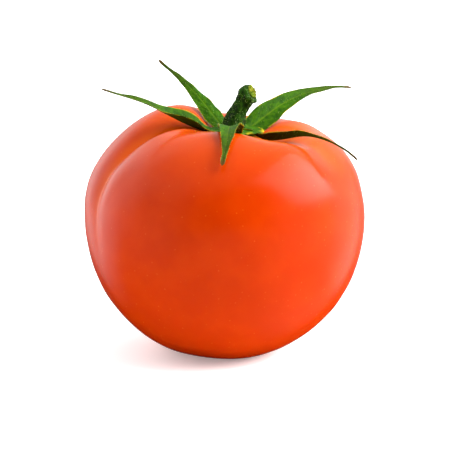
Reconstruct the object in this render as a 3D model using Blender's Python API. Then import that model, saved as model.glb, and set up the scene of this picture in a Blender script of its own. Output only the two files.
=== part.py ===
# A ripe round tomato with its green calyx and a short broken stalk, resting on its blossom end.
# Metres, +Z up. +X is to the right seen from the front, +Y points to the back.
import math

import bmesh
import bpy
import numpy as np

MM = 0.001
GAP = 0.3 * MM                     # clearance between pieces that touch on the real fruit

# Fruit: a half-height oval below its widest level and a flatter, squarer one above it.
FRUIT_RADIUS = 37.3 * MM           # at the widest level
WIDEST_HEIGHT = 36.2 * MM          # of that level above the surface it rests on
LOWER_DEPTH = 38.0 * MM            # down to where the lower oval would close, under the flat foot
LOWER_FULLNESS = 2.05              # 2 is an ellipse, more is squarer
UPPER_DEPTH = 28.4 * MM
UPPER_FULLNESS = 2.35
HOLLOW_DEPTH = 7.9 * MM            # of the hollow that the stalk stands in
HOLLOW_SPREAD = 11.8 * MM
CROWN_SHIFT = 2.8 * MM             # the hollow sits this far to the right of the fruit's middle
FRUIT_SIDES = 64
FRUIT_LEVELS = 34

# Shoulder lobes and creases. Azimuths in degrees at the hollow and at the far end, height in mm
# (a crease is negative), half width in degrees, where it starts, peaks and ends in mm along the skin
# from the stalk, and how sharp its middle is: 0 a soft bell, 1 a fold.
SHOULDERS = [
    ((186, 208), -3.2, 8, (3, 24, 72), 0.8),     # long crease at the front left
    ((322, 330), -1.5, 9, (8, 28, 50), 0.0),     # short dimple at the front right
    ((80, 80), -0.3, 12, (4, 22, 60), 0.7),
    ((118, 118), -0.4, 12, (4, 22, 50), 0.5),
    ((28, 28), 0.8, 12, (4, 22, 50), 0.5),
    ((148, 151), 3.4, 22, (5, 19, 62), 0.0),     # the high lobe at the back left
    ((240, 238), 0.4, 16, (8, 30, 60), 0.0),
    ((45, 45), -1.4, 40, (0, 18, 45), 0.0),
    ((322, 326), -6.4, 24, (0, 11, 30), 0.0),    # the crown falls away at the front right
    ((10, 10), -1.1, 18, (10, 30, 60), 0.0),
    ((216, 216), -0.9, 20, (4, 18, 42), 0.0),
]

# Calyx: a small turned hub, with its neck just above the floor of the hollow.
HUB_CENTRE = (CROWN_SHIFT, 0.0, 59.4 * MM)   # where the sepals' mid-lines meet
HUB_RADIUS = 4.3 * MM
HUB_TOP = 0.7 * MM                 # of its flat top, over the hub centre
HUB_PROFILE = [                    # radius and height over the hub centre, from below
    (0.51 * HUB_RADIUS, -1.95 * MM), (0.58 * HUB_RADIUS, -1.2 * MM), (0.91 * HUB_RADIUS, -0.6 * MM),
    (HUB_RADIUS, -0.1 * MM), (0.93 * HUB_RADIUS, 0.45 * MM), (0.70 * HUB_RADIUS, HUB_TOP),
]
HUB_SIDES = 24

# Sepals: azimuth at the hub and its bend, elevation and roll along the length in degrees (read at
# evenly spaced places from hub to tip), length and greatest half width in mm, and how far the
# edges fold up from the midrib.
SEPALS = {
    "sepal_left": dict(azimuth=190.6, bend=(0, 3, 0), rise=(12, 25.5, 21, 16.5), roll=(5, 20, 25, 15),
                       length=33.1, half_width=2.8, taper=1.0, fold=0.5),
    "sepal_back_left": dict(azimuth=133.5, bend=(0, -4, 3), rise=(33, 34.5, 25.5, 28), roll=(14, 28, 30, 30),
                            length=31.2, half_width=3.2, taper=1.3, fold=0.35),
    "sepal_back_right": dict(azimuth=39.3, bend=(0, -6, -8), rise=(23, 23.5, 5, -5.5),
                             roll=(-20, -35, -30, -20), length=35.5, half_width=3.7, taper=1.05, fold=0.3),
    "sepal_right": dict(azimuth=338.3, bend=(0, -22, 20), rise=(-25, 12.5, -11, -44), roll=(22, 33, 22, 10),
                        length=34.1, half_width=2.8, taper=1.0, fold=0.4),
    "sepal_front": dict(azimuth=260.7, bend=(0, 6, -4), rise=(26, 7, -24, -32), roll=(0, 0, 0, 0),
                        length=29.7, half_width=3.6, taper=1.15, fold=0.3),
}
SEPAL_START = HUB_RADIUS + 1.5 * GAP    # from the stalk axis, just clear of the hub
SEPAL_THICKNESS = 0.7 * MM
SEPAL_STEPS = 18
SEPAL_COLUMNS = 4
SEPAL_BASE_WIDTH = 0.56            # of the greatest width
SEPAL_TIP_WIDTH = 0.05

# Stalk: a leaning shank with a flared foot, a swollen knuckle and a torn, slanting end.
STALK_FOOT = np.add(HUB_CENTRE, (0.0, 0.0, HUB_TOP + GAP))
STALK_ROUTE = [                    # centre over the foot, and radius, all in mm
    (-0.6, 0.0, 0.0, 2.9), (-0.1, 0.0, 2.1, 2.7), (0.8, 0.0, 4.2, 2.3), (1.9, -0.1, 6.3, 2.3),
    (3.05, -0.3, 8.2, 2.6), (4.1, -0.6, 9.4, 1.9),
]
STALK_SIDES = 20
STALK_RINGS = 14

MATERIALS = {                      # colour (linear), roughness
    "fruit_skin": ((0.72, 0.045, 0.008), 0.22),
    "calyx_green": ((0.070, 0.190, 0.025), 0.55),
    "stalk_green": ((0.035, 0.095, 0.014), 0.60),
}


def smooth_step(value, low, high):
    part = np.clip((value - low) / (high - low), 0.0, 1.0)
    return part * part * (3.0 - 2.0 * part)


def along(place, values):
    """One smooth curve through evenly spaced values, read at places from 0 to 1."""
    spots = np.linspace(0.0, 1.0, len(values))
    return np.polyval(np.polyfit(spots, values, len(values) - 1), place)


def skin_profile(level):
    """Radius and height of the plain fruit; level 0 is the blossom end, 1 the bottom of the hollow."""
    sine, cosine = np.sin(np.pi * level), np.cos(np.pi * level)
    lower = cosine > 0
    fullness = np.where(lower, LOWER_FULLNESS, UPPER_FULLNESS)
    depth = np.where(lower, LOWER_DEPTH, UPPER_DEPTH)
    radius = FRUIT_RADIUS * np.abs(sine) ** (2.0 / fullness)
    height = WIDEST_HEIGHT - np.sign(cosine) * depth * np.abs(cosine) ** (2.0 / fullness)
    hollow = np.where(lower, 0.0, HOLLOW_DEPTH * np.exp(-(radius / HOLLOW_SPREAD) ** 2))
    return radius, height - hollow


def distance_from_stalk(level):
    """Millimetres along the skin from the stalk axis down to a level."""
    levels = np.linspace(0.0, 1.0, 2001)
    radius, height = skin_profile(levels)
    run = np.concatenate([[0.0], np.cumsum(np.hypot(np.diff(radius), np.diff(height)))]) / MM
    return np.interp(level, levels, run[-1] - run)


def shoulder_height(azimuth, distance):
    """How far the lobes and creases lift the skin, in metres."""
    lift = 0.0
    for (inner, outer), height, half_width, (start, peak, end), sharpness in SHOULDERS:
        middle = np.radians(inner + (outer - inner) * smooth_step(distance, start, end))
        turn = np.degrees((azimuth - middle + np.pi) % (2.0 * np.pi) - np.pi) / half_width
        fold = np.exp(0.12 - 1.1 * np.sqrt(turn * turn + 0.12 ** 2))
        across = (1.0 - sharpness) * np.exp(-0.5 * turn * turn) + sharpness * fold
        lengthwise = smooth_step(distance, start, peak) * (1.0 - smooth_step(distance, peak, end))
        lift = lift + height * across * lengthwise
    return lift * MM


def skin_point(azimuth, level):
    """The fruit's surface: the plain profile, lifted by the shoulders and cut flat at the foot."""
    radius, height = skin_profile(level)
    lift = shoulder_height(azimuth, distance_from_stalk(level))
    radius = radius + lift * np.sin(np.pi * level)
    height = np.maximum(height - lift * np.cos(np.pi * level), 0.0)
    shift = CROWN_SHIFT * smooth_step(-np.cos(np.pi * level), 0.1, 1.0)
    return np.stack([radius * np.cos(azimuth) + shift, radius * np.sin(azimuth), height], -1)


def foot_level():
    """The lowest level whose skin still touches the resting surface."""
    levels = np.linspace(0.0, 0.5, 4001)
    return levels[np.argmax(skin_profile(levels)[1] > 0.0)]


def add_ring(bm, points):
    verts = [bm.verts.new(point) for point in points]
    return [bm.edges.new((verts[i - 1], verts[i])) for i in range(len(verts))]


def finish(name, bm, material):
    """Turns a bmesh into a smooth-shaded object of that name."""
    bmesh.ops.recalc_face_normals(bm, faces=bm.faces)
    mesh = bpy.data.meshes.new(name)
    bm.to_mesh(mesh)
    bm.free()
    mesh.shade_smooth()
    mesh.set_sharp_from_angle(angle=math.radians(40))
    mesh.materials.append(material)
    obj = bpy.data.objects.new(name, mesh)
    bpy.context.scene.collection.objects.link(obj)
    return obj


def loft(name, rings, material):
    """A closed solid through a row of rings, with a flat cap on its first and last."""
    bm = bmesh.new()
    loops = [add_ring(bm, ring) for ring in rings]
    for lower, upper in zip(loops, loops[1:]):
        bmesh.ops.bridge_loops(bm, edges=lower + upper)
    for end in (loops[0], loops[-1]):
        bmesh.ops.contextual_create(bm, geom=end)
    return finish(name, bm, material)


def make_fruit(material):
    azimuth = np.linspace(0.0, 2.0 * np.pi, FRUIT_SIDES, endpoint=False)
    levels = np.linspace(foot_level(), 0.985, FRUIT_LEVELS)
    rings = [skin_point(azimuth, level) for level in levels]
    rings[0][:, 2] = 0.0
    return loft("fruit", rings, material)


def make_hub(material):
    azimuth = np.linspace(0.0, 2.0 * np.pi, HUB_SIDES, endpoint=False)
    circle = np.stack([np.cos(azimuth), np.sin(azimuth), 0.0 * azimuth], -1)
    rings = [circle * radius + np.add(HUB_CENTRE, (0.0, 0.0, height))
             for radius, height in HUB_PROFILE]
    return loft("calyx_hub", rings, material)


def sepal_line(sepal):
    """Mid-line of a sepal and, at each step, its direction and its width direction before rolling."""
    place = np.linspace(0.0, 1.0, SEPAL_STEPS + 1)
    azimuth = np.radians(sepal["azimuth"] + along(place, sepal["bend"]))
    rise = np.radians(along(place, sepal["rise"]))
    forward = np.stack([np.cos(rise) * np.cos(azimuth), np.cos(rise) * np.sin(azimuth), np.sin(rise)], -1)
    across = np.stack([np.sin(azimuth), -np.cos(azimuth), 0.0 * azimuth], -1)
    start = math.radians(sepal["azimuth"])
    root = np.add(HUB_CENTRE, (SEPAL_START * math.cos(start), SEPAL_START * math.sin(start), 0.0))
    steps = 0.5 * (forward[1:] + forward[:-1]) * sepal["length"] * MM / SEPAL_STEPS
    line = np.vstack([root, root + np.cumsum(steps, axis=0)])
    return place, line, forward, across


def make_sepal(name, sepal, material):
    """A narrow blade, folded along its midrib: a grid laid along the mid-line, given a thickness."""
    place, line, forward, across = sepal_line(sepal)
    up = np.cross(across, forward)
    roll = np.radians(along(place, sepal["roll"]))[:, None]
    side = across * np.cos(roll) + up * np.sin(roll)
    lift = up * np.cos(roll) - across * np.sin(roll)
    base = SEPAL_BASE_WIDTH + (1.0 - SEPAL_BASE_WIDTH) * smooth_step(place, 0.0, 0.22)
    taper = base * (1.0 - place) ** sepal["taper"]
    width = sepal["half_width"] * 1.15 * MM * np.maximum(taper, SEPAL_TIP_WIDTH)
    bm = bmesh.new()
    bmesh.ops.create_grid(bm, x_segments=SEPAL_STEPS, y_segments=SEPAL_COLUMNS, size=1.0)
    for vert in bm.verts:
        step = round((vert.co.x + 1.0) * 0.5 * SEPAL_STEPS)
        u = vert.co.y
        folded = sepal["fold"] * (math.sqrt(u * u + 0.04) - 0.2)
        vert.co = line[step] + width[step] * (u * side[step] + folded * lift[step])
    blade = finish(name, bm, material)
    wall = blade.modifiers.new("thickness", "SOLIDIFY")
    wall.thickness = SEPAL_THICKNESS
    wall.offset = 0.0
    return blade


def make_stalk(material):
    place = np.linspace(0.0, 1.0, STALK_RINGS)
    x, y, z, radius = (along(place, column) for column in zip(*STALK_ROUTE))
    line = np.stack([x, y, z], -1)
    forward = np.gradient(line, axis=0)
    forward[:, :2] *= smooth_step(place, 0.0, 0.35)[:, None]     # the foot stands level
    forward /= np.linalg.norm(forward, axis=1)[:, None]
    side = np.cross((0.0, 1.0, 0.0), forward)
    side /= np.linalg.norm(side, axis=1)[:, None]
    other = np.cross(forward, side)
    turn = np.linspace(0.0, 2.0 * np.pi, STALK_SIDES, endpoint=False)[:, None]
    rings = [(line[i] + radius[i] * (np.cos(turn) * side[i] + np.sin(turn) * other[i])) * MM + STALK_FOOT
             for i in range(STALK_RINGS)]
    return loft("stem", rings, material)


def make_material(name, colour, roughness):
    material = bpy.data.materials.new(name)
    material.use_nodes = True
    shader = material.node_tree.nodes["Principled BSDF"]
    shader.inputs["Base Color"].default_value = (*colour, 1.0)
    shader.inputs["Roughness"].default_value = roughness
    shader.inputs["Metallic"].default_value = 0.0
    return material


def main():
    for obj in list(bpy.data.objects):
        bpy.data.objects.remove(obj)
    materials = {name: make_material(name, *finish_of) for name, finish_of in MATERIALS.items()}
    make_fruit(materials["fruit_skin"])
    make_hub(materials["calyx_green"])
    for name, sepal in SEPALS.items():
        make_sepal(name, sepal, materials["calyx_green"])
    make_stalk(materials["stalk_green"])


main()
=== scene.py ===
# A ripe round tomato: waxy red skin, a downy green calyx and a hairy broken stalk.
import math

import bpy
import numpy as np
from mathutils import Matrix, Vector


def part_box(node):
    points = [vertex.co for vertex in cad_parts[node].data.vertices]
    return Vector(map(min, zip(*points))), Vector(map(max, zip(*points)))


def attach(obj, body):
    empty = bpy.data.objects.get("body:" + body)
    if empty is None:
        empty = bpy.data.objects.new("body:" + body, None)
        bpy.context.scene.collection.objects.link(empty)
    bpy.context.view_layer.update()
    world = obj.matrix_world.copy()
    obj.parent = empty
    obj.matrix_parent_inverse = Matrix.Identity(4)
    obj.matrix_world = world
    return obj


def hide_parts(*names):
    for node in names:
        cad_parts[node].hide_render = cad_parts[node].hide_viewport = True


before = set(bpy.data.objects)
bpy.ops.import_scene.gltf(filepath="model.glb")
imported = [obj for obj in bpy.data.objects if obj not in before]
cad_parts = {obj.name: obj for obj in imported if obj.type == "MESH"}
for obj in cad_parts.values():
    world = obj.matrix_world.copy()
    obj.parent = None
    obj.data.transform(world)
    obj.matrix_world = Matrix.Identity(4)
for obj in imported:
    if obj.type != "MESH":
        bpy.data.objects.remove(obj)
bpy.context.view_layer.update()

# Sizes below are in millimetres, all scaled together from the width of the CAD fruit.
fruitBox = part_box("fruit")
fruitWidth = 74.76       # across its box, in those millimetres
mm = (fruitBox[1].x - fruitBox[0].x) / fruitWidth


def smoothStep(x, low, high):
    # 0 below low, 1 above high, 3t^2 - 2t^3 between
    t = np.clip((x - low) / (high - low), 0.0, 1.0)
    return t * t * (3.0 - 2.0 * t)


def bell(x, middle, width):
    # exp(-(x - middle)^2 / (2 width^2))
    return np.exp(-0.5 * ((x - middle) / width) ** 2)


def along(place, values):
    # the polynomial through evenly spaced values, read at places 0 to 1
    spots = np.linspace(0.0, 1.0, len(values))
    return np.polyval(np.polyfit(spots, values, len(values) - 1), place)


def softNoise(points, size, seed, waves=28):
    # sum of cosines of random direction and phase and of wavelength about size; about -1 to 1
    rng = np.random.default_rng(seed)
    directions = rng.normal(size=(waves, 3))
    directions /= np.linalg.norm(directions, axis=1)[:, None]
    lengths = size * rng.uniform(0.7, 1.4, waves)
    phases = rng.uniform(0.0, 2.0 * np.pi, waves)
    total = np.zeros(points.shape[:-1])
    for direction, length, phase in zip(directions, lengths, phases):
        total += np.cos(points @ direction * (2.0 * np.pi / length) + phase)
    return total * math.sqrt(2.0 / waves) * 0.5


def unit(vectors):
    return vectors / np.linalg.norm(vectors, axis=-1, keepdims=True)


def closedSurface(name, rings, marks):
    # A row of closed rings, shape (rows, columns, 3), made into one closed skin: quads between
    # neighbouring rings and a fan from each end ring to its middle. Marks are values kept per point.
    rows, columns = rings.shape[:2]
    ends = np.stack([rings[0].mean(0), rings[-1].mean(0)])
    points = np.concatenate([rings.reshape(-1, 3), ends])
    row, column = np.meshgrid(np.arange(rows - 1), np.arange(columns), indexing="ij")
    nextColumn = (column + 1) % columns
    quads = np.stack([row * columns + column, row * columns + nextColumn,
                      (row + 1) * columns + nextColumn, (row + 1) * columns + column], -1).reshape(-1, 4)
    around = np.arange(columns)
    onward = (around + 1) % columns
    last = (rows - 1) * columns
    startFan = np.stack([np.full(columns, rows * columns), onward, around], -1)
    endFan = np.stack([np.full(columns, rows * columns + 1), last + around, last + onward], -1)
    mesh = bpy.data.meshes.new(name)
    mesh.from_pydata(points, [], quads.tolist() + startFan.tolist() + endFan.tolist())
    for mark, values in marks.items():
        flat = values.reshape(rows, columns, -1)
        full = np.concatenate([flat.reshape(rows * columns, -1), flat[0].mean(0)[None],
                               flat[-1].mean(0)[None]])
        layer = mesh.attributes.new(mark, "FLOAT_VECTOR", "POINT")
        layer.data.foreach_set("vector", full.astype(np.float32).ravel())
    return showMesh(name, mesh)


def showMesh(name, mesh):
    mesh.shade_smooth()
    mesh.update()
    piece = bpy.data.objects.new(name, mesh)
    bpy.context.scene.collection.objects.link(piece)
    return piece


def keep(piece, slot, material, *nodes):
    # the piece rides on the part, takes the material given and stands for CAD nodes
    piece.data.materials.append(material)
    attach(piece, "root")
    if nodes:
        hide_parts(*nodes)
    print("made", piece.name, len(piece.data.polygons), "faces")
    return piece


def hexColour(text):
    # sRGB hex to linear light
    parts = [int(text[i:i + 2], 16) / 255.0 for i in (1, 3, 5)]
    return (*[p / 12.92 if p <= 0.04045 else ((p + 0.055) / 1.055) ** 2.4 for p in parts], 1.0)


def addNode(tree, kind, inputs=None, **settings):
    # a node with its settings; an input is a number, a colour or another node's output
    node = tree.nodes.new(kind)
    for name, value in settings.items():
        setattr(node, name, value)
    for name, value in (inputs or {}).items():
        if isinstance(value, bpy.types.NodeSocket):
            tree.links.new(value, node.inputs[name])
        else:
            node.inputs[name].default_value = value
    return node


def newMaterial(name):
    material = bpy.data.materials.new(name)
    material.use_nodes = True
    tree = material.node_tree
    return material, tree, tree.nodes["Principled BSDF"]


def addRange(tree, value, low, high, toLow=0.0, toHigh=1.0):
    return addNode(tree, "ShaderNodeMapRange", {"Value": value, "From Min": low, "From Max": high,
                                                "To Min": toLow, "To Max": toHigh},
                   interpolation_type="SMOOTHSTEP").outputs["Result"]


def addMath(tree, operation, *values):
    return addNode(tree, "ShaderNodeMath", dict(enumerate(values)), operation=operation).outputs[0]


def addMix(tree, amount, first, second):
    return addNode(tree, "ShaderNodeMix", {0: amount, 6: first, 7: second}, data_type="RGBA").outputs[2]


fruit = dict(
    radius=37.3,             # at the widest level
    widest=36.2,             # height of that level
    lowerDepth=38.0, lowerFullness=2.05,     # half oval below: 2 is an ellipse, more is squarer
    upperDepth=28.4, upperFullness=2.35,
    hollowDepth=7.9, hollowSpread=11.8,      # the hollow round the stalk
    crownShift=2.8,          # the hollow sits this far to the right of the middle
    columns=360, rows=256,
    footDimple=0.7, footDimpleRadius=5.0,    # the blossom end is drawn in a little
    footFlat=8.0, footRound=13.0,            # it is flat inside the first radius and round past the second
    footEase=0.5, footLevel=0.3,             # how softly it meets the table; only levels under this have it
    swellSize=24.0, swellHeight=0.16,        # broad unevenness of the skin
    rippleSize=9.0, rippleHeight=0.05,       # finer unevenness
    puckerHeight=0.22, puckerPlace=6.0, puckerWidth=2.6,     # small pleats round the stalk
)

# Lobes and creases on the shoulders: azimuth at the hollow and at the far end, height (a crease is
# negative), half width in degrees, where it starts, peaks and ends in mm along the skin from the
# stalk, and how sharp its middle is: 0 a soft bell, 1 a fold.
shoulders = [
    ((186, 208), -3.2, 8, (3, 24, 72), 0.8),
    ((322, 330), -1.5, 9, (8, 28, 50), 0.0),
    ((80, 80), -0.3, 12, (4, 22, 60), 0.7),
    ((118, 118), -0.4, 12, (4, 22, 50), 0.5),
    ((28, 28), 0.8, 12, (4, 22, 50), 0.5),
    ((148, 151), 3.4, 22, (5, 19, 62), 0.0),
    ((240, 238), 0.4, 16, (8, 30, 60), 0.0),
    ((45, 45), -1.4, 40, (0, 18, 45), 0.0),
    ((322, 326), -6.4, 24, (0, 11, 30), 0.0),
    ((10, 10), -1.1, 18, (10, 30, 60), 0.0),
    ((216, 216), -0.9, 20, (4, 18, 42), 0.0),
]


def skinProfile(level):
    # level 0 blossom end to 1 hollow: radius = R |sin|^(2/n), height = H - sign(cos) D |cos|^(2/n),
    # less the hollow, D exp(-(radius / spread)^2)
    sine, cosine = np.sin(np.pi * level), np.cos(np.pi * level)
    lower = cosine > 0
    fullness = np.where(lower, fruit["lowerFullness"], fruit["upperFullness"])
    depth = np.where(lower, fruit["lowerDepth"], fruit["upperDepth"])
    radius = fruit["radius"] * np.abs(sine) ** (2.0 / fullness)
    height = fruit["widest"] - np.sign(cosine) * depth * np.abs(cosine) ** (2.0 / fullness)
    hollow = fruit["hollowDepth"] * np.exp(-(radius / fruit["hollowSpread"]) ** 2)
    return radius, height - np.where(lower, 0.0, hollow)


def stalkDistance(level):
    # millimetres along the plain skin from the stalk down to a level
    levels = np.linspace(0.0, 1.0, 2001)
    radius, height = skinProfile(levels)
    run = np.concatenate([[0.0], np.cumsum(np.hypot(np.diff(radius), np.diff(height)))])
    return np.interp(level, levels, run[-1] - run)


def shoulderLift(azimuth, distance):
    # sum over lobes of height x across x lengthwise; across mixes a bell with a fold, which falls
    # off as exp(-|turn| / width) with a slightly rounded middle
    lift = np.zeros(np.broadcast(azimuth, distance).shape)
    for (inner, outer), height, halfWidth, (start, peak, end), sharpness in shoulders:
        middle = np.radians(inner + (outer - inner) * smoothStep(distance, start, end))
        turn = np.degrees((azimuth - middle + np.pi) % (2.0 * np.pi) - np.pi) / halfWidth
        fold = np.exp(0.12 - np.sqrt(turn * turn + 0.12 ** 2) * 1.1)
        across = (1.0 - sharpness) * np.exp(-0.5 * turn * turn) + sharpness * fold
        lengthwise = smoothStep(distance, start, peak) * (1.0 - smoothStep(distance, peak, end))
        lift += height * across * lengthwise
    return lift


def skinPoints(azimuth, level):
    # the profile turned round, lifted along its outward slope by lobes, waves and puckers, shifted
    # at the crown, then rounded off at the foot: z = (z + sqrt(z^2 + e^2)) / 2
    radius, height = skinProfile(level)
    distance = stalkDistance(level)
    lift = shoulderLift(azimuth, distance)
    flat = np.stack([radius * np.cos(azimuth), radius * np.sin(azimuth), height + 0.0 * azimuth], -1)
    body = smoothStep(distance, 2.0, 14.0)
    swell = fruit["swellHeight"] * softNoise(flat, fruit["swellSize"], 3)
    ripple = fruit["rippleHeight"] * softNoise(flat, fruit["rippleSize"], 4)
    lift = lift + body * (swell + ripple)
    pucker = np.cos(azimuth * 23 + 1.3 * np.sin(azimuth * 4)) * np.cos(azimuth * 9 + 0.6)
    lift = lift + fruit["puckerHeight"] * pucker * bell(distance, fruit["puckerPlace"], fruit["puckerWidth"])
    radius = radius + lift * np.sin(np.pi * level)
    height = height - lift * np.cos(np.pi * level)
    foot = radius + 0.0 * height
    height = 0.5 * (height + np.sqrt(height * height + fruit["footEase"] ** 2))
    low = smoothStep(foot, fruit["footFlat"], fruit["footRound"])
    height = np.where(level < fruit["footLevel"], height * low, height)
    dimple = fruit["footDimple"] * np.exp(-(foot / fruit["footDimpleRadius"]) ** 2 * 2.0)
    height = height + np.where(level < fruit["footLevel"], dimple, 0.0)
    shift = fruit["crownShift"] * smoothStep(-np.cos(np.pi * level), 0.1, 1.0)
    points = np.stack([radius * np.cos(azimuth) + shift, radius * np.sin(azimuth), height], -1)
    return points * mm, distance + 0.0 * azimuth, lift


def makeFruit(material):
    azimuth = np.linspace(0.0, 2.0 * np.pi, fruit["columns"], endpoint=False)[None, :]
    level = np.linspace(0.004, 0.9965, fruit["rows"])[:, None]
    points, distance, lift = skinPoints(azimuth, level)
    foot = np.hypot(points[..., 0], points[..., 1]) / mm
    farAway = 99.0       # stands for no foot here
    marks = {"skinPlace": np.stack([distance, lift, np.where(level < fruit["footLevel"], foot, farAway)], -1)}
    return keep(closedSurface("fruit_skin", points, marks), "fruit_skin", material, "fruit")


def skinMaterial():
    # Ripe tomato skin: a clear waxy cuticle over red flesh. It gives a soft broad gloss, light that
    # sinks in and comes back red, and a faint grain of pale pores.
    look = dict(red="#a02a00", deep="#9a2600", orange="#b44602", pale="#d88048", cork="#6e5430",
                green="#727c2c", speckSpacing=1.5, speckSize=0.17, mottle=9.0, grain=0.35)
    material, tree, shader = newMaterial("tomatoSkinWaxy")
    place = addNode(tree, "ShaderNodeTexCoord").outputs["Object"]
    mark = addNode(tree, "ShaderNodeAttribute", attribute_name="skinPlace").outputs["Vector"]
    parts = addNode(tree, "ShaderNodeSeparateXYZ", {"Vector": mark}).outputs
    mottle = addNode(tree, "ShaderNodeTexNoise", {"Vector": place, "Scale": 1.0 / (look["mottle"] * mm),
                                                  "Detail": 3.0, "Roughness": 0.55}).outputs["Fac"]
    colour = addMix(tree, addRange(tree, mottle, 0.35, 0.7), hexColour(look["deep"]), hexColour(look["red"]))
    shoulder = addMath(tree, "MULTIPLY", addRange(tree, parts[0], 44.0, 8.0), 0.6)
    colour = addMix(tree, shoulder, colour, hexColour(look["orange"]))
    crease = addMath(tree, "MULTIPLY", addRange(tree, parts[1], -0.4, -2.4), 0.8)
    colour = addMix(tree, crease, colour, hexColour(look["orange"]))
    specks = addNode(tree, "ShaderNodeTexVoronoi",
                     {"Vector": place, "Scale": 1.0 / (look["speckSpacing"] * mm), "Randomness": 1.0},
                     feature="F1")
    dot = addRange(tree, specks.outputs["Distance"], look["speckSize"], look["speckSize"] * 0.35)
    chosen = addNode(tree, "ShaderNodeSeparateColor", {"Color": specks.outputs["Color"]}).outputs[0]
    dot = addMath(tree, "MULTIPLY", dot, addRange(tree, chosen, 0.35, 0.9))
    colour = addMix(tree, addMath(tree, "MULTIPLY", dot, 0.16), colour, hexColour(look["pale"]))
    ring = addMath(tree, "MULTIPLY", addRange(tree, parts[0], 8.5, 3.0), 0.8)
    colour = addMix(tree, ring, colour, hexColour(look["green"]))
    scar = addRange(tree, parts[2], 1.9, 1.1)
    colour = addMix(tree, scar, colour, hexColour(look["cork"]))
    grain = addNode(tree, "ShaderNodeTexNoise", {"Vector": place, "Scale": 1.0 / (look["grain"] * mm),
                                                 "Detail": 2.0, "Roughness": 0.6}).outputs["Fac"]
    rough = addRange(tree, parts[2], 1.9, 1.1, 0.2, 0.7)
    height = addMath(tree, "ADD", addMath(tree, "MULTIPLY", grain, 0.5), addMath(tree, "MULTIPLY", dot, 0.35))
    bump = addNode(tree, "ShaderNodeBump", {"Height": height, "Strength": 0.10, "Distance": 0.06 * mm})
    tree.links.new(colour, shader.inputs["Base Color"])
    tree.links.new(rough, shader.inputs["Roughness"])
    tree.links.new(bump.outputs["Normal"], shader.inputs["Normal"])
    shader.inputs["IOR"].default_value = 1.45
    shader.inputs["Subsurface Weight"].default_value = 0.25
    shader.inputs["Subsurface Radius"].default_value = (1.0, 0.16, 0.05)
    shader.inputs["Subsurface Scale"].default_value = 2.2 * mm
    shader.inputs["Specular IOR Level"].default_value = 0.085
    return material


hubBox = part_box("calyx_hub")
hubTop = 0.7             # from the place where the sepals' mid-lines meet up to the top of the CAD hub
hub = dict(
    centre=np.array([(hubBox[0].x + hubBox[1].x) / 2, (hubBox[0].y + hubBox[1].y) / 2,
                     hubBox[1].z - hubTop * mm]),
    radius=5.2,
    reach=2.4, pointSpread=0.42,     # how far its points run out under the sepals, and their width in radians
    columns=160,
)

# Azimuth at the hub and its bend, elevation and roll along the length in degrees, length and
# greatest half width in mm, how fast it narrows and how far its edges fold up from the midrib.
# plainSepal holds what most share: least width at the tip, as a share of the half width; how far
# the edges cup at one place along it; and how far, in mm, its root half sags.
plainSepal = dict(tipWidth=0.14, cup=0.0, cupAt=0.3, sag=0.0)
sepals = {
    "sepal_left": dict(azimuth=190.6, bend=(0, 3, 0), rise=(12, 25.5, 21, 16.5), roll=(0, 18, 25, 15),
                       length=33.1, halfWidth=2.8, taper=1.0, fold=0.4, seed=11, tipWidth=0.2, cup=0.75,
                       cupAt=0.31, sag=0.6),
    "sepal_back_left": dict(azimuth=133.5, bend=(0, -4, 3), rise=(33, 34.5, 25.5, 28), roll=(14, 24, 28, 30),
                            length=31.2, halfWidth=2.95, taper=1.2, fold=-0.12, seed=12),
    "sepal_back_right": dict(azimuth=39.3, bend=(0, -6, -8), rise=(23, 23.5, 5, -5.5),
                             roll=(-42, -38, -30, -20), length=35.5, halfWidth=3.7, taper=1.05, fold=0.3,
                             seed=13),
    "sepal_right": dict(azimuth=338.3, bend=(0, -22, 20), rise=(-25, 12.5, -11, -44), roll=(22, 30, 30, 30),
                        length=34.1, halfWidth=2.6, taper=0.95, fold=0.4, seed=14, tipWidth=0.24, sag=0.7),
    "sepal_front": dict(azimuth=260.7, bend=(0, 6, -4), rise=(26, 7, -24, -32), roll=(0, 0, 0, 0),
                        length=29.7, halfWidth=3.6, taper=0.95, fold=0.3, seed=15),
}
sepals = {name: {**plainSepal, **own} for name, own in sepals.items()}
blade = dict(
    start=4.75,              # where the free blade starts, from the stalk axis
    inner=1.5,               # where its hidden root ends
    rootShare=0.09,          # of the length that lies inside the hub
    thickness=0.50, edge=0.14, keel=0.40,    # at the midrib, at the rim, and the rib underneath
    groove=0.16, vein=0.05, veinPairs=11, ruffle=0.28,
    widen=1.15,              # makes up for the narrowing towards the root
    noiseLength=30.0,        # the length over which the unevenness is read
    rows=190, columns=28,    # along, and across each face
    lineSteps=240, rootSteps=24,
)


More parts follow.
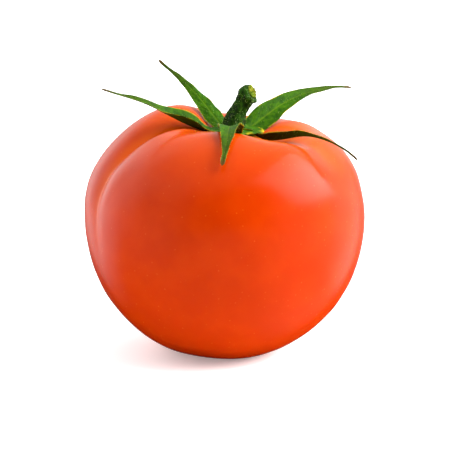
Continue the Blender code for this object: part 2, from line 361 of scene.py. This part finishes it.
def sepalLine(sepal):
    # mid-line by adding up unit steps of the given azimuth and elevation; a straight root leads in
    steps, rootSteps = blade["lineSteps"], blade["rootSteps"]
    place = np.linspace(0.0, 1.0, steps + 1)
    azimuth = np.radians(sepal["azimuth"] + along(place, sepal["bend"]))
    rise = np.radians(along(place, sepal["rise"]))
    forward = np.stack([np.cos(rise) * np.cos(azimuth), np.cos(rise) * np.sin(azimuth), np.sin(rise)], -1)
    across = np.stack([np.sin(azimuth), -np.cos(azimuth), 0.0 * azimuth], -1)
    outward = np.array([math.cos(azimuth[0]), math.sin(azimuth[0]), 0.0])
    root = hub["centre"] / mm + blade["start"] * outward
    run = np.cumsum(0.5 * (forward[1:] + forward[:-1]), 0) * sepal["length"] / steps
    line = np.vstack([root, root + run])
    innerEnd = hub["centre"] / mm + blade["inner"] * outward + np.array([0.0, 0.0, 0.15])
    lead = np.linspace(0.0, 1.0, rootSteps, endpoint=False)[:, None]
    line = np.vstack([innerEnd + (root - innerEnd) * lead, line])
    straight = np.repeat(unit(root - innerEnd)[None], rootSteps, 0)
    forward = np.vstack([straight * (1 - lead) + forward[:1] * lead, forward])
    across = np.vstack([np.repeat(across[:1], rootSteps, 0), across])
    full = np.concatenate([-blade["rootShare"] * (1.0 - lead[:, 0]), place])
    return full, line, unit(forward), across


def bladePoints(sepal, place, across, under):
    # place -root..1 along, across -1..1, under 0 the upper face, 1 the lower face:
    # mid-line + side x width x across + lift x (fold + ruffle + veins) -/+ half the thickness
    full, line, forward, side = sepalLine(sepal)
    at = [np.stack([np.interp(place, full, values[:, axis]) for axis in range(3)], -1)
          for values in (line, forward, side)]
    middle, forward, side = at[0], unit(at[1]), unit(at[2])
    up = unit(np.cross(side, forward))
    s = np.clip(place, 0.0, 1.0)
    roll = np.radians(along(s, sepal["roll"]))[..., None]
    tilt = side * np.cos(roll) + up * np.sin(roll)
    lift = up * np.cos(roll) - side * np.sin(roll)
    taper = (1.0 - s) ** sepal["taper"] * (0.66 + 0.34 * smoothStep(s, 0.0, 0.2))
    width = sepal["halfWidth"] * blade["widen"] * np.maximum(taper, sepal["tipWidth"])
    tipEnd = 1.0 - smoothStep(place, 0.975, 1.0) * 0.75
    seed = sepal["seed"]
    far = place * blade["noiseLength"]
    wander = np.stack([far, 0.0 * place + seed, across * 1.5], -1)
    rim = np.abs(across) ** 3
    rimPath = np.stack([far, np.sign(across) * 9.0, 0 * place + seed], -1)
    outline = 1.0 + 0.05 * softNoise(rimPath, 5.0, seed)
    cup = sepal["cup"] * bell(s, sepal["cupAt"], 0.10)
    flatRoot = smoothStep(s, 0.02, 0.2)
    fold = (sepal["fold"] * flatRoot + cup) * (np.sqrt(across ** 2 + 0.03) - 0.173) * width
    sag = sepal["sag"] * smoothStep(place, 0.0, 0.15) * (1.0 - smoothStep(place, 0.3, 0.9))
    ruffle = blade["ruffle"] * softNoise(wander, 7.0, seed + 40) * rim * smoothStep(s, 0.02, 0.2) * tipEnd
    sway = 0.35 * softNoise(wander * [1.0, 1.0, 0.0], 16.0, seed + 60) * smoothStep(s, 0.1, 0.5)
    veinPath = blade["veinPairs"] * s - 1.9 * np.abs(across) ** 0.8 + 0.3 * np.sign(across)
    veinWave = np.cos(2 * np.pi * veinPath)
    veins = blade["vein"] * veinWave * smoothStep(np.abs(across), 0.08, 0.3) * (1.0 - rim) * (1.0 - s)
    groove = -blade["groove"] * bell(across, 0.0, 0.07) * (1.0 - s) ** 0.5
    keel = -blade["keel"] * bell(across, 0.0, 0.13) * (1.0 - s) ** 0.7
    thick = blade["edge"] + (blade["thickness"] - blade["edge"]) * (1.0 - across ** 2)
    half = 0.5 * thick * (0.45 + 0.55 * (1 - s))
    surface = np.where(under > 0.5, -half + keel - 0.6 * veins, half + groove + veins)
    offset = fold + ruffle + sway + surface - sag
    width = width * outline * tipEnd
    return (middle + tilt * (width * across)[..., None] + lift * offset[..., None]) * mm, lift


def makeSepal(name, sepal, material):
    # each ring runs across the upper face and back across the lower one
    place = np.linspace(-blade["rootShare"], 1.0, blade["rows"])[:, None]
    turn = np.linspace(0.0, np.pi, blade["columns"])
    across = np.concatenate([-np.cos(turn), np.cos(turn[1:-1])])[None, :]
    under = np.concatenate([np.zeros(blade["columns"]), np.ones(blade["columns"] - 2)])[None, :]
    place, across, under = np.broadcast_arrays(place, across, under)
    points, _ = bladePoints(sepal, place, across, under)
    marks = {"leafPlace": np.stack([np.clip(place, 0, 1), across, under], -1)}
    return keep(closedSurface(name + "_leaf", points[:, ::-1], {k: v[:, ::-1] for k, v in marks.items()}),
                "calyx_green", material, name)


def makeHub(material):
    # a low dome of radius R(azimuth) with a point under each sepal, on a short neck
    azimuth = np.linspace(0.0, 2.0 * np.pi, hub["columns"], endpoint=False)[None, :]
    reach = np.zeros_like(azimuth)
    for sepal in sepals.values():
        turn = (azimuth - math.radians(sepal["azimuth"]) + np.pi) % (2 * np.pi) - np.pi
        reach = reach + bell(turn, 0.0, hub["pointSpread"])
    # share of the radius and height over the centre, from below
    profile = np.array([(0.45, -1.9), (0.52, -1.2), (0.8, -0.75), (0.97, -0.45), (1.0, -0.15), (0.96, 0.12),
                        (0.85, 0.34), (0.70, 0.52), (0.55, 0.66), (0.3, 0.8)])
    fine = np.linspace(0.0, 1.0, 60)
    spots = np.linspace(0.0, 1.0, len(profile))
    share, height = (np.interp(fine, spots, profile[:, i])[:, None] for i in (0, 1))
    radius = share * (hub["radius"] + hub["reach"] * reach * smoothStep(share, 0.5, 1.0))
    flat = np.stack([radius * np.cos(azimuth), radius * np.sin(azimuth), height + 0 * azimuth], -1)
    bumps = 0.10 * softNoise(flat, 2.2, 21)
    flat = flat * (1.0 + 0.02 * softNoise(flat, 1.5, 22))[..., None]
    flat[..., 2] += bumps
    # Painted shade: the hub's lower part is marked as an underside, so it takes the darker, browner
    # lower-face colour.
    below = np.broadcast_to(height < -0.5, radius.shape) * 1.0
    marks = {"leafPlace": np.stack([0.02 + 0 * radius, share + 0 * radius, below], -1)}
    collar = closedSurface("calyx_hub_collar", flat * mm + hub["centre"], marks)
    return keep(collar, "calyx_green", material, "calyx_hub")


def leafMaterial():
    # Tomato leaf tissue: matt, downy and mottled green, with a paler midrib and side veins, a thin
    # yellow rim that is partly yellowing and partly painted light, dried brown tips, and undersides
    # painted darker and browner as shade.
    look = dict(upper="#335a02", dark="#1c3e01", lower="#2e2c06", vein="#566f10", rim="#a08c10",
                olive="#2c3003", tip="#463210", mottle=1.6, cells=0.45, rimMottle=3.0)
    material, tree, shader = newMaterial("sepalLeafDowny")
    place = addNode(tree, "ShaderNodeTexCoord").outputs["Object"]
    mark = addNode(tree, "ShaderNodeAttribute", attribute_name="leafPlace").outputs["Vector"]
    length, across, under = addNode(tree, "ShaderNodeSeparateXYZ", {"Vector": mark}).outputs[:3]
    side = addMath(tree, "ABSOLUTE", across)
    mottle = addNode(tree, "ShaderNodeTexNoise", {"Vector": place, "Scale": 1.0 / (look["mottle"] * mm),
                                                  "Detail": 4.0, "Roughness": 0.6}).outputs["Fac"]
    cells = addNode(tree, "ShaderNodeTexVoronoi", {"Vector": place, "Scale": 1.0 / (look["cells"] * mm)},
                    feature="F1").outputs["Distance"]
    colour = addMix(tree, addRange(tree, mottle, 0.35, 0.65), hexColour(look["dark"]),
                    hexColour(look["upper"]))
    # Painted shade: the lower face is mixed three quarters of the way to a darker, browner green that stands
    # for the shade it lies in.
    colour = addMix(tree, addMath(tree, "MULTIPLY", under, 0.75), colour, hexColour(look["lower"]))
    colour = addMix(tree, addMath(tree, "MULTIPLY", addRange(tree, cells, 0.25, 0.6), 0.25), colour,
                    hexColour(look["dark"]))
    slant = addMath(tree, "SUBTRACT", addMath(tree, "MULTIPLY", length, float(blade["veinPairs"])),
                    addMath(tree, "MULTIPLY", side, 1.8))
    comb = addMath(tree, "PINGPONG", slant, 0.5)
    veins = addMath(tree, "MULTIPLY", addRange(tree, comb, 0.10, 0.0), addRange(tree, side, 0.9, 0.3))
    midrib = addRange(tree, side, 0.10, 0.02)
    lines = addMath(tree, "MAXIMUM", addMath(tree, "MULTIPLY", veins, 0.22),
                    addMath(tree, "MULTIPLY", midrib, 0.4))
    colour = addMix(tree, lines, colour, hexColour(look["vein"]))
    # Yellow rim along both edges: partly the edge's own yellowing, partly painted light for light shining
    # through the thin edge.
    rimNoise = addNode(tree, "ShaderNodeTexNoise",
                       {"Vector": place, "Scale": 1.0 / (look["rimMottle"] * mm)}).outputs["Fac"]
    rim = addMath(tree, "MULTIPLY", addRange(tree, side, 0.88, 0.99), addRange(tree, rimNoise, 0.35, 0.6))
    colour = addMix(tree, addMath(tree, "MULTIPLY", rim, 0.8), colour, hexColour(look["rim"]))
    outer = addMath(tree, "MULTIPLY", addRange(tree, length, 0.35, 0.95), 0.65)
    colour = addMix(tree, outer, colour, hexColour(look["olive"]))
    dry = addRange(tree, addMath(tree, "ADD", length, addMath(tree, "MULTIPLY", mottle, 0.06)), 0.93, 1.01)
    colour = addMix(tree, dry, colour, hexColour(look["tip"]))
    height = addMath(tree, "ADD", addMath(tree, "MULTIPLY", cells, -0.5), mottle)
    bump = addNode(tree, "ShaderNodeBump", {"Height": height, "Strength": 0.5, "Distance": 0.12 * mm})
    tree.links.new(colour, shader.inputs["Base Color"])
    tree.links.new(addRange(tree, mottle, 0.3, 0.7, 0.46, 0.62), shader.inputs["Roughness"])
    tree.links.new(bump.outputs["Normal"], shader.inputs["Normal"])
    shader.inputs["IOR"].default_value = 1.42
    shader.inputs["Subsurface Weight"].default_value = 0.12
    shader.inputs["Subsurface Radius"].default_value = (0.5, 1.0, 0.2)
    shader.inputs["Subsurface Scale"].default_value = 0.5 * mm
    shader.inputs["Specular IOR Level"].default_value = 0.05
    return material


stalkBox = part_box("stem")
stalk = dict(
    foot=np.array([hub["centre"][0], hub["centre"][1], stalkBox[0].z]),
    # centre over the foot, and radius, evenly spaced along the stalk
    route=[(-0.6, 0.0, -0.5, 3.1), (-0.1, 0.0, 2.1, 2.75), (0.8, 0.0, 4.2, 2.25), (1.9, -0.1, 6.3, 2.2),
           (3.05, -0.3, 8.2, 2.65), (4.1, -0.6, 9.3, 1.8)],
    ribs=7, ribHeight=0.10,
    knucklePlace=0.80, knuckleSwell=0.16,    # a swollen ring, and a neck under it
    neckPlace=0.70, neckPinch=0.10, bandWidth=0.05,
    columns=96, rows=120, endRings=34,
)


def stalkFrame(place):
    # a curve through the route's points, its direction and two directions across it
    x, y, z, radius = (along(place, column) for column in zip(*stalk["route"]))
    step = 1e-3
    ahead = np.stack([along(place + step, column) for column in list(zip(*stalk["route"]))[:3]], -1)
    line = np.stack([x, y, z], -1)
    forward = unit(ahead - line)
    level = smoothStep(place, 0.0, 0.35)[..., None]
    forward = unit(forward * [1.0, 1.0, 0.0] * level + forward * [0.0, 0.0, 1.0])
    side = unit(np.cross([0.0, 1.0, 0.0], forward))
    return line, radius, forward, side, np.cross(forward, side)


def stalkPoints(place, turn, push=0.0, share=1.0):
    # centre + radius x (1 + ribs) x (cos side + sin other) + push x forward
    line, radius, forward, side, other = stalkFrame(place)
    wave = np.cos(turn * stalk["ribs"] + 1.5 * np.sin(turn * 2 + place * 3.0))
    fading = 1.0 - smoothStep(place, 0.75, 1.0) * 0.5
    radius = radius * share * (1.0 + stalk["ribHeight"] * wave * 0.5 * fading)
    radius = radius + stalk["knuckleSwell"] * bell(place, stalk["knucklePlace"], stalk["bandWidth"])
    radius = radius - stalk["neckPinch"] * bell(place, stalk["neckPlace"], stalk["bandWidth"])
    around = np.cos(turn)[..., None] * side + np.sin(turn)[..., None] * other
    base = line + radius[..., None] * around + forward * np.asarray(push)[..., None]
    rough = 0.10 * softNoise(base, 1.6, 31) + 0.05 * softNoise(base, 0.6, 32)
    return base + around * rough[..., None], around


def makeStalk(material):
    # the shank, then a rounded rim, then the torn face running in to its middle
    turn = np.linspace(0.0, 2.0 * np.pi, stalk["columns"], endpoint=False)[None, :]
    place = np.linspace(0.0, 1.0, stalk["rows"])[:, None]
    shank, _ = stalkPoints(*np.broadcast_arrays(place, turn))
    inward = np.linspace(0.0, 1.0, stalk["endRings"])[1:-1, None]
    share = np.cos(inward * np.pi / 2) ** 0.75
    place2, turn2, share2 = np.broadcast_arrays(np.ones_like(inward), turn, share)
    push = 0.55 * np.sin(np.minimum(inward * 4.0, 1.0) * np.pi / 2) - 0.8 * smoothStep(inward, 0.25, 0.8)
    end, _ = stalkPoints(place2, turn2, np.broadcast_to(push, place2.shape), share2)
    forward = stalkFrame(np.array([1.0]))[2][0]
    torn = 0.45 * softNoise(end, 1.1, 33) + 0.25 * softNoise(end, 0.5, 34)
    end = end + forward * (torn * smoothStep(inward, 0.05, 0.3))[..., None]
    points = np.concatenate([shank, end])
    length = np.repeat(np.concatenate([place, 1.0 + inward]), stalk["columns"], 1)
    marks = {"stalkPlace": np.stack([length, np.repeat(turn, len(length), 0), 0 * length], -1)}
    shankAndEnd = closedSurface("stem_stalk", points * mm + stalk["foot"], marks)
    return keep(shankAndEnd, "stalk_green", material, "stem")


def stalkMaterial():
    # Tomato stalk: dark matt green with lengthwise streaks and, where it tore, pale yellow-green
    # fibres with brown specks.
    look = dict(dark="#0b1c01", green="#1d3e04", streak="#426414", pith="#7c7e20", fresh="#4c6814",
                brown="#3c2e10", mottle=1.3, streakWidth=0.35, fibre=0.5)
    material, tree, shader = newMaterial("stalkBarkGreen")
    place = addNode(tree, "ShaderNodeTexCoord").outputs["Object"]
    mark = addNode(tree, "ShaderNodeAttribute", attribute_name="stalkPlace").outputs["Vector"]
    length = addNode(tree, "ShaderNodeSeparateXYZ", {"Vector": mark}).outputs[0]
    stretched = addNode(tree, "ShaderNodeMapping", {"Vector": place, "Rotation": (0.0, 0.42, 0.0),
                                                    "Scale": (1.0, 1.0, 0.16)}).outputs[0]
    streaks = addNode(tree, "ShaderNodeTexNoise",
                      {"Vector": stretched, "Scale": 1.0 / (look["streakWidth"] * 2 * mm),
                       "Detail": 3.0}).outputs["Fac"]
    mottle = addNode(tree, "ShaderNodeTexNoise", {"Vector": place, "Scale": 1.0 / (look["mottle"] * mm),
                                                  "Detail": 4.0}).outputs["Fac"]
    colour = addMix(tree, addRange(tree, mottle, 0.35, 0.65), hexColour(look["dark"]),
                    hexColour(look["green"]))
    colour = addMix(tree, addMath(tree, "MULTIPLY", addRange(tree, streaks, 0.52, 0.68), 0.3), colour,
                    hexColour(look["streak"]))
    face = addRange(tree, length, 0.99, 1.12)
    pith = addMix(tree, addRange(tree, mottle, 0.4, 0.6), hexColour(look["fresh"]), hexColour(look["pith"]))
    fibres = addNode(tree, "ShaderNodeTexNoise", {"Vector": place, "Scale": 1.0 / (look["fibre"] * mm),
                                                  "Detail": 3.0}).outputs["Fac"]
    pith = addMix(tree, addMath(tree, "MULTIPLY", addRange(tree, fibres, 0.55, 0.7), 0.8), pith,
                  hexColour(look["brown"]))
    colour = addMix(tree, face, colour, pith)
    height = addMath(tree, "ADD", addMath(tree, "MULTIPLY", streaks, 0.8),
                     addMath(tree, "MULTIPLY", mottle, 0.6))
    bump = addNode(tree, "ShaderNodeBump", {"Height": height, "Strength": 0.6, "Distance": 0.2 * mm})
    tree.links.new(colour, shader.inputs["Base Color"])
    tree.links.new(addRange(tree, mottle, 0.3, 0.7, 0.5, 0.68), shader.inputs["Roughness"])
    tree.links.new(bump.outputs["Normal"], shader.inputs["Normal"])
    shader.inputs["Specular IOR Level"].default_value = 0.05
    return material


# The down: short hairs on stalk and sepals, lengths and width in mm.
hairs = dict(
    width=0.04,              # coarser than real plant hair, so that it shows
    stalkCount=300, stalkLength=(0.35, 0.95), leafCount=220, leafLength=(0.25, 0.7),
    rimShare=0.6,            # of a leaf's hairs that stand along its rims
)


def makeHairs(name, roots, outward, lengths, material, slot, seed):
    # each hair is a three-sided cone in two joints, bent by a random lean; root - mid - point
    rng = np.random.default_rng(seed)
    lean = unit(outward + 0.45 * rng.normal(size=outward.shape))
    droop = unit(lean + 0.35 * rng.normal(size=outward.shape))
    side = unit(np.cross(lean, rng.normal(size=outward.shape)))
    other = np.cross(lean, side)
    turn = np.arange(3) * 2.0 * np.pi / 3.0
    around = side[:, None] * np.cos(turn)[None, :, None] + other[:, None] * np.sin(turn)[None, :, None]
    width = hairs["width"] * mm
    low = roots - lean * 0.05 * mm
    mid = roots + lean * (0.55 * lengths)[:, None]
    tip = mid + droop * (0.45 * lengths)[:, None]
    points = np.concatenate([low[:, None] + around * width, mid[:, None] + around * width * 0.6,
                             tip[:, None]], 1)
    one = [(0, 1, 4, 3), (1, 2, 5, 4), (2, 0, 3, 5)]
    caps = [(3, 4, 6), (4, 5, 6), (5, 3, 6), (2, 1, 0)]
    start = np.arange(len(roots))[:, None, None] * 7
    faces = (start + np.array(one)[None]).reshape(-1, 4).tolist()
    faces += (start + np.array(caps)[None]).reshape(-1, 3).tolist()
    mesh = bpy.data.meshes.new(name)
    mesh.from_pydata(points.reshape(-1, 3), [], faces)
    return keep(showMesh(name, mesh), slot, material)


def leafHairs(name, sepal, material):
    # thick along the two rims, thin over both faces
    rng = np.random.default_rng(sepal["seed"] + 100)
    count = hairs["leafCount"]
    place = rng.uniform(0.0, 0.97, count) ** 1.1
    atRim = rng.random(count) < hairs["rimShare"]
    across = np.where(atRim, np.sign(rng.normal(size=count)) * rng.uniform(0.93, 1.0, count),
                      rng.uniform(-0.9, 0.9, count))
    under = (rng.random(count) < 0.45).astype(float)
    roots, lift = bladePoints(sepal, place, across, under)
    beyond, _ = bladePoints(sepal, place, across * 1.2, under)
    outward = unit(unit(beyond - roots) * np.sign(across)[:, None] ** 2 * atRim[:, None] * 1.4
                   + lift * np.where(under > 0.5, -1.0, 1.0)[:, None])
    lengths = rng.uniform(*hairs["leafLength"], count) * mm * (1.0 - 0.4 * place)
    makeHairs(name + "_down", roots, outward, lengths, material, "calyx_green", sepal["seed"] + 200)


def stalkHairs(material):
    rng = np.random.default_rng(301)
    count = hairs["stalkCount"]
    place, turn = rng.uniform(0.06, 0.98, count), rng.uniform(0.0, 2.0 * np.pi, count)
    roots, around = stalkPoints(place, turn)
    lengths = rng.uniform(*hairs["stalkLength"], count) * mm
    makeHairs("stem_down", roots * mm + stalk["foot"], around, lengths, material, "stalk_green", 302)


def hairMaterial():
    # Plant hair: a clear pale cell wall that catches the light.
    material, _, shader = newMaterial("plantHairPale")
    shader.inputs["Base Color"].default_value = hexColour("#6a8030")
    shader.inputs["Roughness"].default_value = 0.45
    return material


studio = dict(
    floorSize=3.0, floorColour="#fafafa", floorGlow=0.26,
    keyPlace=(0.38, -0.053, 0.35), keySize=(0.50, 0.50), keyPower=6.2,
    floorDrop=0.02,          # mm under the fruit, so that the two faces don't coincide
    # the room: soft patches of light, each with its direction, the cosine of its half width and
    # its brightness
    room=[((-0.3, 0, 1), 0.6, 1.5), ((-1, -0.35, 0.3), 0.6, 1.4), ((-0.85, 0.5, 0.2), 0.7, 2.8),
          ((-0.85, 0.5, -0.2), 0.85, 0.7), ((0.85, 0.5, -0.2), 0.85, 2.0), ((0.72, 0.35, 0.6), 0.7, 2.4),
          ((1, -0.25, 0.2), 0.7, 1.3), ((0, 1, 0.4), 0.6, 1.1), ((0.85, -0.1, -0.5), 0.6, 0.8),
          ((0.83, -0.03, 0.52), 0.88, 9.0)],
)
camera = dict(
    distance=0.50, elevation=13.0, aim=(0.0, 0.0, 0.031),
    viewWidth=0.120105,      # metres across the view at the aim
    pictureShape=450 / 470, sensor=36.0,
)


def addLight(name, place, size, power):
    light = bpy.data.lights.new(name, "AREA")
    light.shape = "RECTANGLE"
    light.size, light.size_y = size
    light.energy = power
    lamp = bpy.data.objects.new(name, light)
    lamp.location = place
    lamp.rotation_mode = "QUATERNION"
    lamp.rotation_quaternion = (Vector(place) - Vector((0, 0, 0.03))).to_track_quat("Z", "Y")
    bpy.context.scene.collection.objects.link(lamp)


def makeStudio():
    half = studio["floorSize"] / 2
    mesh = bpy.data.meshes.new("floor")
    drop = -studio["floorDrop"] * mm
    corners = [(-half, -half, drop), (half, -half, drop), (half, half, drop), (-half, half, drop)]
    mesh.from_pydata(corners, [], [(0, 1, 2, 3)])
    floor = bpy.data.objects.new("floor", mesh)
    bpy.context.scene.collection.objects.link(floor)
    material, _, shader = newMaterial("paleTable")
    shader.inputs["Base Color"].default_value = hexColour(studio["floorColour"])
    shader.inputs["Roughness"].default_value = 0.6
    shader.inputs["Specular IOR Level"].default_value = 0.2
    shader.inputs["Emission Color"].default_value = (1.0, 1.0, 1.0, 1.0)
    shader.inputs["Emission Strength"].default_value = studio["floorGlow"]
    mesh.materials.append(material)
    floor.visible_glossy = False

    world = bpy.data.worlds.new("paleRoom")
    bpy.context.scene.world = world
    world.use_nodes = True
    tree = world.node_tree
    direction = addNode(tree, "ShaderNodeTexCoord").outputs["Generated"]
    glow = 0.0
    for towards, rim, brightness in studio["room"]:
        nearness = addNode(tree, "ShaderNodeVectorMath", {0: direction, 1: Vector(towards).normalized()},
                           operation="DOT_PRODUCT").outputs["Value"]
        glow = addMath(tree, "ADD", glow, addRange(tree, nearness, rim, 1.0, 0.0, brightness))
    glow = addMath(tree, "MAXIMUM", glow, 0.0)
    seen = addNode(tree, "ShaderNodeLightPath").outputs["Is Camera Ray"]
    strength = addNode(tree, "ShaderNodeMix", {0: seen, 2: glow, 3: 1.05}).outputs[0]
    tree.links.new(strength, tree.nodes["Background"].inputs["Strength"])
    tree.nodes["Background"].inputs["Color"].default_value = (1.0, 1.0, 1.0, 1.0)
    addLight("keyLight", studio["keyPlace"], studio["keySize"], studio["keyPower"])
    bpy.context.scene.view_settings.view_transform = "Standard"


def makeCamera():
    # the lens is set on the picture's long side, which is its height
    tilt = math.radians(camera["elevation"])
    back = Vector((0.0, -math.cos(tilt), math.sin(tilt)))
    lens = bpy.data.cameras.new("camera")
    lens.sensor_width = camera["sensor"]
    lens.lens = camera["distance"] / camera["viewWidth"] * camera["sensor"] * camera["pictureShape"]
    eye = bpy.data.objects.new("camera", lens)
    eye.location = Vector(camera["aim"]) + back * camera["distance"]
    eye.rotation_mode = "QUATERNION"
    eye.rotation_quaternion = (-back).to_track_quat("-Z", "Y")
    bpy.context.scene.collection.objects.link(eye)
    bpy.context.scene.camera = eye


makeCamera()
makeStudio()
print("studio ready")
makeFruit(skinMaterial())
leaf, down = leafMaterial(), hairMaterial()
makeHub(leaf)
for name, sepal in sepals.items():
    makeSepal(name, sepal, leaf)
    leafHairs(name, sepal, down)
makeStalk(stalkMaterial())
stalkHairs(down)
